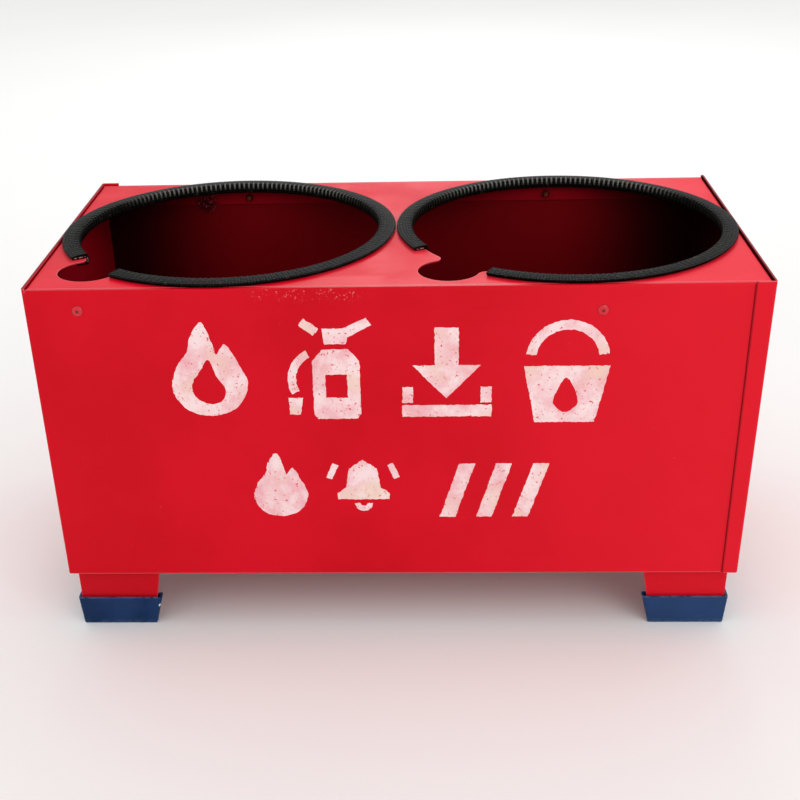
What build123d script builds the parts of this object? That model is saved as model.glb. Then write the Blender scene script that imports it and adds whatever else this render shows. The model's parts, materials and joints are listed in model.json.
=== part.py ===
from build123d import *

import math
import os

# Open-topped steel stand box for two fire extinguishers. Sizes are in millimetres.
# Frame: +X to the right along the long front wall, +Y to the back, +Z up.
# The origin is on the ground, in the middle of the box's footprint.
#
# Two bent steel wraps make the four walls. Each is one long wall, one side wall and a narrow lap
# strip that covers the free end of the other wrap. The back wrap is the front one turned half round.
# A top panel with two bottle holes and a floor panel are trays set inside the walls.

# ---- Driving sizes ----------------------------------------------------------------------------
BODY_WIDTH = 400.0  # outside, over the side walls
BODY_DEPTH = 200.0  # outside, over the long walls, without the lap strips
WALL_HEIGHT = 180.0  # long walls, from their bottom edge to the upper face of their lips
FOOT_HEIGHT = 39.0  # ground to the bottom edge of the walls

# Sheet steel
SHEET = 1.0
BEND_RADIUS = 0.5  # inside radius of every bend
SIDE_RISE = 1.2  # the side walls and lap strips stand this far above the top panel
LIP_WIDTH = 3.4  # the top of each long wall is folded in as a narrow lip, level with the top panel
LIP_RELIEF = 0.3  # slit between the lip and the corner bend
LAP_TOP = 10.8  # lap strip width at its top end
LAP_BOTTOM = 9.0  # lap strip width at its bottom end
WALL_END_GAP = 0.5  # between a long wall's free end and the other wrap's side wall

# Top panel
FRONT_FLANGE = 20.0
BACK_FLANGE = 13.5
SIDE_FLANGE = 13.5
TRAY_SIDE_GAP = 0.3  # between the top panel's side flanges and the side walls
SEAM_GAP = 0.2  # between the top panel and the lip of each long wall
CORNER_RELIEF = 2.0  # cut out of each tray corner so that the flanges can be folded

# Bottle holes: the right one was cut a little larger and further back than the left one
LEFT_HOLE_CENTRE = (-100.3, 0.5)
LEFT_HOLE_RADIUS = 90.5
RIGHT_HOLE_CENTRE = (99.4, 1.1)
RIGHT_HOLE_RADIUS = 92.3
NOTCH_RADIUS = 17.0
LEFT_NOTCH_SETOUT = 8.3  # hose notch centre, outward from the edge of its bottle hole
RIGHT_NOTCH_SETOUT = 10.9
LEFT_NOTCH_ANGLE = 224.6  # hose notch direction from the hole centre, towards the front left
RIGHT_NOTCH_ANGLE = 227.0
NOTCH_BLEND = 4.5  # rounding where the notch runs into the hole

# Floor panel
FLOOR_FLANGE = 15.0

# Edge trim: a pinched U of soft plastic over a thin steel core
LEFT_TRIM_GRIP = 7.9  # how far the upper lip reaches onto the sheet
RIGHT_TRIM_GRIP = 6.4  # squeezed between the side wall and the other trim
LEFT_TRIM_UNDERGRIP = 3.4  # the lower lips are shorter and clear the stepped edges of the panel
RIGHT_TRIM_UNDERGRIP = 1.8
TRIM_NOSE = 1.7  # soft plastic from the nose to the channel, radially
TRIM_NOSE_HEIGHT = 6.8
TRIM_NOSE_LAND = 2.6  # straight part of the nose that faces the bottle
TRIM_LIP = 2.1  # lip thickness at the mouth
TRIM_BOTTOM_GAP = 0.3  # sheet edge to the bottom of the channel
TRIM_LIP_ROUND = 0.8
TRIM_SHOULDER_ROUND = 1.2
TRIM_NOSE_ROUND = 0.4
CORE_THICKNESS = 0.5
CORE_CHANNEL_COVER = 0.7  # soft plastic between the core and the channel
CORE_LIP_COVER = 1.0  # soft plastic between the core's end and the lip's end
LEFT_TRIM_ENDS = (235.0, 212.0)  # degrees round the hole, first end to last end
RIGHT_TRIM_ENDS = (239.5, 206.0)

# Blind rivets
RIVET_RADIUS = 1.6
RIVET_HOLE_GAP = 0.05
RIVET_HEAD_RADIUS = 3.1
RIVET_HEAD_HEIGHT = 1.1
RIVET_BULB_RADIUS = 2.3
RIVET_BULB_LENGTH = 3.0
RIVET_BULB_CHAMFER = 0.6
MANDREL_RADIUS = 0.9
MANDREL_GAP = 0.03
MANDREL_RECESS = 0.3  # broken end below the top of the rivet head
MANDREL_HEAD_RADIUS = 1.6
MANDREL_HEAD_LENGTH = 1.3
MANDREL_HEAD_TAPER = 12.0  # degrees
# Distance along X from the middle, and distance below the top panel's upper face
FRONT_LEFT_RIVET = (-171.0, 11.5)
FRONT_RIGHT_RIVET = (110.5, 14.0)
BACK_LEFT_RIVET = (-101.0, 8.7)
BACK_RIGHT_RIVET = (96.5, 8.7)

# Feet: steel angle stubs whose flanges narrow towards the ground, in loose push-on plastic caps
LEG_TOP_FLANGE = 50.0
LEG_FOOT_FLANGE = 43.5
LEG_THICKNESS = 2.0
LEG_INSET = 4.5  # from the outer faces of the walls
CAP_HEIGHT = 19.5
CAP_FLOOR = 2.4
CAP_WALL = 1.1
CAP_RIM_GAP = 0.9  # between the cap's rim and the angle, all round
CAP_FOOT_COVER = 0.9  # cap wall outside the angle's lower end
CAP_CORNER_RADIUS = 1.2
CAP_EDGE_RADIUS = 0.7

# ---- Derived places ---------------------------------------------------------------------------
TOP_Z = FOOT_HEIGHT + WALL_HEIGHT  # upper face of the top panel
SIDE_TOP_Z = TOP_Z + SIDE_RISE
OUTER_BEND = BEND_RADIUS + SHEET
HALF_WIDTH = BODY_WIDTH / 2
HALF_DEPTH = BODY_DEPTH / 2
WALL_FACE_X = HALF_WIDTH - SHEET  # inner face of a side wall
WALL_FACE_Y = HALF_DEPTH - SHEET  # inner face of a long wall
LAP_Y = HALF_DEPTH + SHEET  # outer face of a lap strip
LIP_Y = HALF_DEPTH - LIP_WIDTH  # free edge of a long wall's lip

os.makedirs("parts", exist_ok=True)


def save(part, name):
    """Labels a finished piece and writes it as parts/NAME.step."""
    part.label = name
    export_step(part, f"parts/{name}.step")


# ---- Wraps ------------------------------------------------------------------------------------
# The blank seen from above is a long wall, a side wall and a lap strip with a bend between each.


def rivet_drill(outward, places):
    """Drills through the long wall and the flange behind it. Outward is -1 at the front, 1 at the back."""
    with BuildPart() as drill:
        with BuildSketch(Plane.XZ.offset(-outward * WALL_FACE_Y)):
            with Locations(*[(x, TOP_Z - drop) for x, drop in places]):
                Circle(RIVET_RADIUS + RIVET_HOLE_GAP)
        extrude(amount=2 * SHEET, both=True)
    return drill.part


def bent_wrap():
    """One wrap without rivet holes: front wall, left side wall and the lap strip at the back left."""
    wall_start = OUTER_BEND + LIP_RELIEF - HALF_WIDTH
    wall_end = WALL_FACE_X - WALL_END_GAP
    with BuildPart() as wrap:
        # Side wall with both corner bends and the lap strip, seen from above
        with BuildSketch(Plane.XY.offset(FOOT_HEIGHT)) as blank:
            with BuildLine():
                Polyline(
                    (wall_start, -HALF_DEPTH),
                    (-HALF_WIDTH, -HALF_DEPTH),
                    (-HALF_WIDTH, LAP_Y),
                    (LAP_TOP - HALF_WIDTH, LAP_Y),
                    (LAP_TOP - HALF_WIDTH, HALF_DEPTH),
                    (-WALL_FACE_X, HALF_DEPTH),
                    (-WALL_FACE_X, -WALL_FACE_Y),
                    (wall_start, -WALL_FACE_Y),
                    close=True,
                )
            make_face()
            fillet(blank.vertices().group_by(Axis.X)[0], OUTER_BEND)
            fillet([v for v in blank.vertices() if v.X == -WALL_FACE_X], BEND_RADIUS)
        extrude(amount=SIDE_TOP_Z - FOOT_HEIGHT)
        # The free edge of the lap strip leans, so that the strip is narrower at the foot.
        with BuildSketch(Plane.XZ.offset(-LAP_Y)):
            with BuildLine():
                Polyline(
                    (LAP_TOP - HALF_WIDTH, SIDE_TOP_Z),
                    (LAP_BOTTOM - HALF_WIDTH, FOOT_HEIGHT),
                    (LAP_TOP - HALF_WIDTH, FOOT_HEIGHT),
                    close=True,
                )
            make_face()
        extrude(amount=SHEET, mode=Mode.SUBTRACT)
        # Long wall with its lip, seen from the end
        with BuildSketch(Plane.YZ.offset(wall_start)) as wall:
            with BuildLine():
                Polyline(
                    (-HALF_DEPTH, FOOT_HEIGHT),
                    (-HALF_DEPTH, TOP_Z),
                    (-LIP_Y, TOP_Z),
                    (-LIP_Y, TOP_Z - SHEET),
                    (-WALL_FACE_Y, TOP_Z - SHEET),
                    (-WALL_FACE_Y, FOOT_HEIGHT),
                    close=True,
                )
            make_face()
            fillet(wall.vertices().sort_by_distance((-HALF_DEPTH, TOP_Z))[0], OUTER_BEND)
            fillet(wall.vertices().sort_by_distance((-WALL_FACE_Y, TOP_Z - SHEET))[0], BEND_RADIUS)
        extrude(amount=wall_end - wall_start)
    return wrap.part


front_drill = rivet_drill(-1, [FRONT_LEFT_RIVET, FRONT_RIGHT_RIVET])
back_drill = rivet_drill(1, [BACK_LEFT_RIVET, BACK_RIGHT_RIVET])

with BuildPart() as front_wrap:
    add(bent_wrap())
    add(front_drill, mode=Mode.SUBTRACT)
save(front_wrap.part, "front_wrap")

with BuildPart() as back_wrap:
    add(bent_wrap(), rotation=(0, 0, 180))
    add(back_drill, mode=Mode.SUBTRACT)
save(back_wrap.part, "back_wrap")

# ---- Top panel --------------------------------------------------------------------------------
# A shallow tray, open side down, with a bottle hole and a hose notch over each bay. Its front and
# back edges step down by the sheet's thickness, run under the lips and turn down behind the walls.

TRAY_HALF_X = WALL_FACE_X - TRAY_SIDE_GAP
TRAY_HALF_Y = LIP_Y - SEAM_GAP  # ends of the part that is level with the lips
TUCK_Z = TOP_Z - SHEET  # upper face of the tucked edge


def bottle_hole(radius, notch_setout, notch_angle):
    """Outline of one bottle hole with its hose notch, about the hole's centre."""
    notch = Vector(radius + notch_setout, 0).rotate(Axis.Z, notch_angle)
    with BuildSketch() as outline:
        Circle(radius)
        with Locations(notch):
            Circle(NOTCH_RADIUS)
        fillet(outline.vertices().sort_by_distance(notch)[:2], NOTCH_BLEND)
    return outline.sketch


def tucked_edge(flange):
    """The front edge of the top panel: step, tuck and downward flange, seen from the end."""
    with BuildSketch() as edge:
        with BuildLine():
            Polyline(
                (-TRAY_HALF_Y, TOP_Z),
                (-TRAY_HALF_Y, TUCK_Z),
                (-WALL_FACE_Y, TUCK_Z),
                (-WALL_FACE_Y, TOP_Z - flange),
                (SHEET - WALL_FACE_Y, TOP_Z - flange),
                (SHEET - WALL_FACE_Y, TUCK_Z - SHEET),
                (SHEET - TRAY_HALF_Y, TUCK_Z - SHEET),
                (SHEET - TRAY_HALF_Y, TOP_Z),
                close=True,
            )
        make_face()
        fillet(edge.vertices().sort_by_distance((-WALL_FACE_Y, TUCK_Z))[0], OUTER_BEND)
        inner_corner = (SHEET - WALL_FACE_Y, TUCK_Z - SHEET)
        fillet(edge.vertices().sort_by_distance(inner_corner)[0], BEND_RADIUS)
    return edge.sketch


with BuildPart() as top_panel:
    # Level sheet with its side flanges, seen from the front
    with BuildSketch(Plane.XZ.offset(-TRAY_HALF_Y)) as tray:
        with Locations((0, TOP_Z)):
            Rectangle(2 * TRAY_HALF_X, SIDE_FLANGE, align=(Align.CENTER, Align.MAX))
        fillet(tray.vertices().group_by(Axis.Y)[-1], OUTER_BEND)
        with Locations((0, TOP_Z - SHEET)):
            RectangleRounded(
                2 * (TRAY_HALF_X - SHEET),
                2 * SIDE_FLANGE,
                BEND_RADIUS,
                align=(Align.CENTER, Align.MAX),
                mode=Mode.SUBTRACT,
            )
    extrude(amount=2 * TRAY_HALF_Y)
    # Tucked edges, with the folding reliefs left open at the corners
    for outward, flange in ((-1, FRONT_FLANGE), (1, BACK_FLANGE)):
        edge_plane = Plane(
            (outward * (TRAY_HALF_X - CORNER_RELIEF), 0, 0), x_dir=(0, -outward, 0), z_dir=(-outward, 0, 0)
        )
        with BuildSketch(edge_plane):
            add(tucked_edge(flange))
        extrude(amount=2 * (TRAY_HALF_X - CORNER_RELIEF))
    # Bottle holes with their hose notches
    with BuildSketch(Plane.XY.offset(TOP_Z - SHEET)):
        with Locations(LEFT_HOLE_CENTRE):
            add(bottle_hole(LEFT_HOLE_RADIUS, LEFT_NOTCH_SETOUT, LEFT_NOTCH_ANGLE))
        with Locations(RIGHT_HOLE_CENTRE):
            add(bottle_hole(RIGHT_HOLE_RADIUS, RIGHT_NOTCH_SETOUT, RIGHT_NOTCH_ANGLE))
    extrude(amount=SHEET, mode=Mode.SUBTRACT)
    add([front_drill, back_drill], mode=Mode.SUBTRACT)
save(top_panel.part, "top_panel")

# ---- Floor panel ------------------------------------------------------------------------------
# A tray, open side up, spot-welded inside the foot of the walls.

with BuildPart() as floor_panel:
    with BuildSketch(Plane.XY.offset(FOOT_HEIGHT)):
        Rectangle(2 * WALL_FACE_X, 2 * WALL_FACE_Y)
    extrude(amount=FLOOR_FLANGE)
    fillet(floor_panel.faces().sort_by(Axis.Z)[0].edges(), OUTER_BEND)
    offset(amount=-SHEET, openings=floor_panel.faces().sort_by(Axis.Z)[-1])
    with BuildSketch(Plane.XY.offset(FOOT_HEIGHT)):
        with GridLocations(2 * WALL_FACE_X, 2 * WALL_FACE_Y, 2, 2):
            Rectangle(2 * CORNER_RELIEF, 2 * CORNER_RELIEF)
    extrude(amount=FLOOR_FLANGE, mode=Mode.SUBTRACT)
save(floor_panel.part, "floor_panel")

# ---- Edge trims -------------------------------------------------------------------------------
# Both sections are drawn with the distance outward from the hole's edge along X, and the height
# above the sheet's middle along Y.

HALF_SHEET = SHEET / 2
CHANNEL_X = -TRIM_BOTTOM_GAP
NOSE_X = CHANNEL_X - TRIM_NOSE
HALF_NOSE = TRIM_NOSE_HEIGHT / 2
HALF_LAND = TRIM_NOSE_LAND / 2
HALF_MOUTH = HALF_SHEET + TRIM_LIP
SHOULDER_X = NOSE_X + HALF_NOSE - HALF_LAND
CORE_X = (NOSE_X + CHANNEL_X - CORE_THICKNESS) / 2  # back of the core
CORE_HEIGHT = HALF_SHEET + CORE_CHANNEL_COVER  # inner face of each core limb


def trim_section(grip, undergrip):
    """Soft plastic section, still solid where the core runs."""
    with BuildSketch() as section:
        with BuildLine():
            Polyline(
                (CHANNEL_X, HALF_SHEET),
                (grip, HALF_SHEET),
                (grip, HALF_MOUTH),
                (SHOULDER_X, HALF_NOSE),
                (NOSE_X, HALF_LAND),
                (NOSE_X, -HALF_LAND),
                (SHOULDER_X, -HALF_NOSE),
                (undergrip, -HALF_MOUTH),
                (undergrip, -HALF_SHEET),
                (CHANNEL_X, -HALF_SHEET),
                close=True,
            )
        make_face()
        fillet([v for v in section.vertices() if abs(v.Y) == HALF_MOUTH], TRIM_LIP_ROUND)
        fillet([v for v in section.vertices() if abs(v.Y) == HALF_NOSE], TRIM_SHOULDER_ROUND)
        fillet([v for v in section.vertices() if v.X == NOSE_X], TRIM_NOSE_ROUND)
    return section.sketch


def core_section(grip, undergrip):
    """Steel core section: a U with square limbs."""
    with BuildSketch() as section:
        with Locations((CORE_X, 0)):
            Rectangle(CORE_THICKNESS, 2 * CORE_HEIGHT, align=(Align.MIN, Align.CENTER))
        with Locations((CORE_X, CORE_HEIGHT)):
            Rectangle(grip - CORE_LIP_COVER - CORE_X, CORE_THICKNESS, align=(Align.MIN, Align.MIN))
        with Locations((CORE_X, -CORE_HEIGHT)):
            Rectangle(undergrip - CORE_LIP_COVER - CORE_X, CORE_THICKNESS, align=(Align.MIN, Align.MAX))
    return section.sketch


def swept_round_hole(section, centre, radius, ends):
    """Runs a section round a bottle hole's edge from its first end to its last end."""
    start, end = ends
    hole_centre = Vector(*centre, TOP_Z - HALF_SHEET)
    outward = Vector(1, 0, 0).rotate(Axis.Z, start)
    start_plane = Plane(
        hole_centre + outward * radius, x_dir=outward, z_dir=outward.cross(Vector(0, 0, 1))
    )
    with BuildPart() as ring:
        with BuildSketch(start_plane):
            add(section)
        revolve(axis=Axis(hole_centre, (0, 0, 1)), revolution_arc=end + 360 - start)
    return ring.part


for side, hole, ends, grips in (
    ("left", (LEFT_HOLE_CENTRE, LEFT_HOLE_RADIUS), LEFT_TRIM_ENDS, (LEFT_TRIM_GRIP, LEFT_TRIM_UNDERGRIP)),
    ("right", (RIGHT_HOLE_CENTRE, RIGHT_HOLE_RADIUS), RIGHT_TRIM_ENDS, (RIGHT_TRIM_GRIP, RIGHT_TRIM_UNDERGRIP)),
):
    core_ring = swept_round_hole(core_section(*grips), *hole, ends)
    save(core_ring, f"{side}_trim_core")

    with BuildPart() as edge_trim:
        add(swept_round_hole(trim_section(*grips), *hole, ends))
        add(core_ring, mode=Mode.SUBTRACT)
    save(edge_trim.part, f"{side}_edge_trim")

# ---- Blind rivets -----------------------------------------------------------------------------
# Domed head outside, bulb inside, with the broken-off pulling pin left in each.
# A rivet is drawn about +Z, head up, with height 0 at the outer face of the wall.

GRIP = 2 * SHEET  # wall and flange together
BULB_END = -GRIP - RIVET_BULB_LENGTH
PIN_HOLE_RADIUS = MANDREL_RADIUS + MANDREL_GAP
PIN_TOP = RIVET_HEAD_HEIGHT - MANDREL_RECESS

with BuildPart() as rivet_body:
    # Dome: the cap of a sphere that passes through the head's rim and its top
    dome_radius = (RIVET_HEAD_RADIUS**2 + RIVET_HEAD_HEIGHT**2) / (2 * RIVET_HEAD_HEIGHT)
    with Locations((0, 0, RIVET_HEAD_HEIGHT - dome_radius)):
        Sphere(dome_radius)
    split(bisect_by=Plane.XY, keep=Keep.TOP)
    with BuildSketch():
        Circle(RIVET_RADIUS)
    extrude(amount=-GRIP)
    with BuildSketch(Plane.XY.offset(-GRIP)):
        Circle(RIVET_BULB_RADIUS)
    extrude(amount=-RIVET_BULB_LENGTH)
    chamfer(rivet_body.edges().sort_by(Axis.Z)[0], RIVET_BULB_CHAMFER)
    with BuildSketch(Plane.XY.offset(BULB_END)):
        Circle(PIN_HOLE_RADIUS)
    extrude(amount=RIVET_HEAD_HEIGHT - BULB_END, mode=Mode.SUBTRACT)

with BuildPart() as rivet_pin:
    with BuildSketch(Plane.XY.offset(BULB_END)):
        Circle(MANDREL_RADIUS)
    extrude(amount=PIN_TOP - BULB_END)
    with BuildSketch(Plane.XY.offset(BULB_END)):
        Circle(MANDREL_HEAD_RADIUS)
    extrude(amount=-MANDREL_HEAD_LENGTH, taper=MANDREL_HEAD_TAPER)

for place, outward, (rivet_x, drop) in (
    ("front_left", -1, FRONT_LEFT_RIVET),
    ("front_right", -1, FRONT_RIGHT_RIVET),
    ("back_left", 1, BACK_LEFT_RIVET),
    ("back_right", 1, BACK_RIGHT_RIVET),
):
    seat = Plane((rivet_x, outward * HALF_DEPTH, TOP_Z - drop), x_dir=(1, 0, 0), z_dir=(0, outward, 0))
    save(seat.location * rivet_body.part, f"{place}_rivet")
    save(seat.location * rivet_pin.part, f"{place}_rivet_pin")

# ---- Feet -------------------------------------------------------------------------------------
# An angle stub welded under each corner of the floor panel, in an L-shaped push-on cap.
# Both are drawn at the front left corner and mirrored to the others.

LEG_CORNER_X = LEG_INSET - HALF_WIDTH
LEG_CORNER_Y = LEG_INSET - HALF_DEPTH
FLANGE_SLOPE = (LEG_TOP_FLANGE - LEG_FOOT_FLANGE) / (FOOT_HEIGHT - CAP_FLOOR)
RIM_FLANGE = LEG_FOOT_FLANGE + FLANGE_SLOPE * (CAP_HEIGHT - CAP_FLOOR)  # angle's width at the cap's rim
END_SLACK = 2 * CAP_RIM_GAP  # the cap stands further off the flange ends at its rim


def foot_plane(height):
    """Level plane at a height, with its origin at the angle's outer corner."""
    return Plane((LEG_CORNER_X, LEG_CORNER_Y, height))


def angle_section(grow, flange, end_grow):
    """Section of the angle: grown by a distance across the flanges, and by another at their ends."""
    inner = LEG_THICKNESS + grow
    tip = flange + end_grow
    with BuildSketch() as section:
        with BuildLine():
            Polyline(
                (-grow, -grow),
                (tip, -grow),
                (tip, inner),
                (inner, inner),
                (inner, tip),
                (-grow, tip),
                close=True,
            )
        make_face()
    return section.sketch


with BuildPart() as leg:
    with BuildSketch(foot_plane(CAP_FLOOR)):
        add(angle_section(0, LEG_FOOT_FLANGE, 0))
    with BuildSketch(foot_plane(FOOT_HEIGHT)):
        add(angle_section(0, LEG_TOP_FLANGE, 0))
    loft(ruled=True)

with BuildPart() as foot_cap:
    with BuildSketch(foot_plane(0)):
        add(angle_section(CAP_FOOT_COVER, LEG_FOOT_FLANGE, CAP_FOOT_COVER))
    with BuildSketch(foot_plane(CAP_HEIGHT)):
        add(angle_section(CAP_RIM_GAP + CAP_WALL, RIM_FLANGE, END_SLACK + CAP_WALL))
    loft(ruled=True)
    corner_edges = foot_cap.edges().filter_by(lambda edge: abs(edge.tangent_at(0).Z) > math.sin(math.pi / 4))
    root = (LEG_CORNER_X + LEG_THICKNESS, LEG_CORNER_Y + LEG_THICKNESS, 0)
    fillet(corner_edges.sort_by_distance(root)[1:], CAP_CORNER_RADIUS)
    fillet(foot_cap.faces().sort_by(Axis.Z)[0].edges(), CAP_EDGE_RADIUS)
    with BuildSketch(foot_plane(CAP_FLOOR)):
        add(angle_section(0, LEG_FOOT_FLANGE, 0))
    with BuildSketch(foot_plane(CAP_HEIGHT)):
        add(angle_section(CAP_RIM_GAP, RIM_FLANGE, END_SLACK))
    loft(ruled=True, mode=Mode.SUBTRACT)

for label, piece in (("leg", leg.part), ("foot_cap", foot_cap.part)):
    left_right = {"left": piece, "right": mirror(piece, about=Plane.YZ)}
    for side, front_piece in left_right.items():
        save(front_piece, f"front_{side}_{label}")
        save(mirror(front_piece, about=Plane.XZ), f"back_{side}_{label}")
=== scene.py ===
import json
import math

import bmesh
import bpy
from mathutils import Matrix, Vector, noise


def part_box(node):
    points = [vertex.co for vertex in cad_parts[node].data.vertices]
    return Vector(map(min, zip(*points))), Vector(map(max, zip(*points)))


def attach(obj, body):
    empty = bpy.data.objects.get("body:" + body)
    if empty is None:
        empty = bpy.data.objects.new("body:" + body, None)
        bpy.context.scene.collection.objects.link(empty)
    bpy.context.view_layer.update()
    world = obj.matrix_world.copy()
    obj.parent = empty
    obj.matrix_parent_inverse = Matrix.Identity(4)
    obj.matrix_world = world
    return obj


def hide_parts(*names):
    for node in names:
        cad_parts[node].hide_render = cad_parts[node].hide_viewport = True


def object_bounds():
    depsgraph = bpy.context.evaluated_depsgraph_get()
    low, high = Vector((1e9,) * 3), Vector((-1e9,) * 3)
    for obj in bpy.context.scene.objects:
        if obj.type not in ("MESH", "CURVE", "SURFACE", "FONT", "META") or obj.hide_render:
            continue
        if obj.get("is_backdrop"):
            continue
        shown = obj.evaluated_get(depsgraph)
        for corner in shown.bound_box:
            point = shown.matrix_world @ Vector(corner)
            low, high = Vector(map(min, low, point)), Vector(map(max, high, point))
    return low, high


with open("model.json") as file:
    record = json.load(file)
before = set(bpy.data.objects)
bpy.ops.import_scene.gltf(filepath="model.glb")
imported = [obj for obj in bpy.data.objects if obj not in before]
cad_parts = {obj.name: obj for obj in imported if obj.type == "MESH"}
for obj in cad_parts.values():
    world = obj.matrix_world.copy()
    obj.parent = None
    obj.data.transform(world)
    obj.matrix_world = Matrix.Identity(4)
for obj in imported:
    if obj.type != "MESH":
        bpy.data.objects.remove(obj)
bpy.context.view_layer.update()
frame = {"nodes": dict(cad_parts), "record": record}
nodes = frame["nodes"]
MM = 0.001

# ---- Sheet-steel walls --------------------------------------------------------------------------
# Two wraps of 1 mm steel sheet, each a long wall, a side wall and a narrow lap strip, riveted and
# spot-welded round the box. Sprayed with red enamel outside; inside, the red is painted dark as shade.

SHEET = 1.0 * MM
WALL_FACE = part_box("floor_panel")[0].y - SHEET
END_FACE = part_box("floor_panel")[0].x - SHEET
PANEL_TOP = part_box("top_panel")[1].z
FLOOR_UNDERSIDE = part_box("floor_panel")[0].z

LAP_TOP = 10.8 * MM
LAP_BOTTOM = 9.0 * MM
HALF_LENGTH = -END_FACE
HALF_DEPTH = -WALL_FACE

# Where the finish differs, in metres along the box
BRIGHTER_RIGHT = (-0.02, 0.2)                     # x, from the plain red to the right half painted brighter as painted light
DUST_AND_SHEEN_SPREAD = (0.05, -0.17)                     # x, from little dust and painted sheen to most
SHADED_STRIP_FRONT = (-0.085, -0.079)               # y, the strip of painted shade and the dust and sheen behind it
SHADED_STRIP_RIGHT = (-0.012, 0.0)                  # x, the strip of painted shade and the dust and sheen beside it
SCUFF_LEFT = (-0.084, -0.062)                # x, where the rubbed band fades in
SCUFF_RIGHT = (-0.008, -0.030)               # x, where it fades out
SCUFF_HEIGHT = (0.209, 0.2165)               # z, from clean to rubbed
SHADE_ENDS = (0.10, 0.19)                     # distance from the middle, from lighter painted shade to darker
SHADE_FOOT = (0.17, 0.06)                     # z, from lighter painted shade to darker
SMUDGE_SPOT = (-0.1305, HALF_DEPTH - 2.5 * MM, 0.2065)

# Settings that many nodes share
BLEND = {"data_type": "RGBA"}
TIMES = {"operation": "MULTIPLY"}
PLUS = {"operation": "ADD"}
GREATER = {"operation": "MAXIMUM"}
SOFT_STEP = {"interpolation_type": "SMOOTHSTEP"}


def colour(hex_code):
    """An sRGB hex colour as the linear RGBA that shaders take."""
    parts = [int(hex_code[i:i + 2], 16) / 255 for i in (1, 3, 5)]
    return [c / 12.92 if c <= 0.04045 else ((c + 0.055) / 1.055) ** 2.4 for c in parts] + [1.0]


def add_node(tree, kind, inputs=None, **settings):
    """Adds one node. settings are its properties; inputs maps its sockets to values, sockets or nodes."""
    made = tree.nodes.new(kind)
    for key, value in settings.items():
        setattr(made, key, value)
    for key, value in (inputs or {}).items():
        if isinstance(value, bpy.types.Node):
            value = next(output for output in value.outputs if output.enabled)
        if isinstance(value, bpy.types.NodeSocket):
            tree.links.new(value, made.inputs[key])
        else:
            made.inputs[key].default_value = value
    return made


def new_material(name):
    """A material with an empty node tree, and its Object coordinates, whole and apart."""
    material = bpy.data.materials.new(name)
    material.use_nodes = True
    tree = material.node_tree
    tree.nodes.clear()
    place = add_node(tree, "ShaderNodeTexCoord").outputs["Object"]
    axes = add_node(tree, "ShaderNodeSeparateXYZ", {0: place}).outputs
    return material, tree, place, axes


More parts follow.
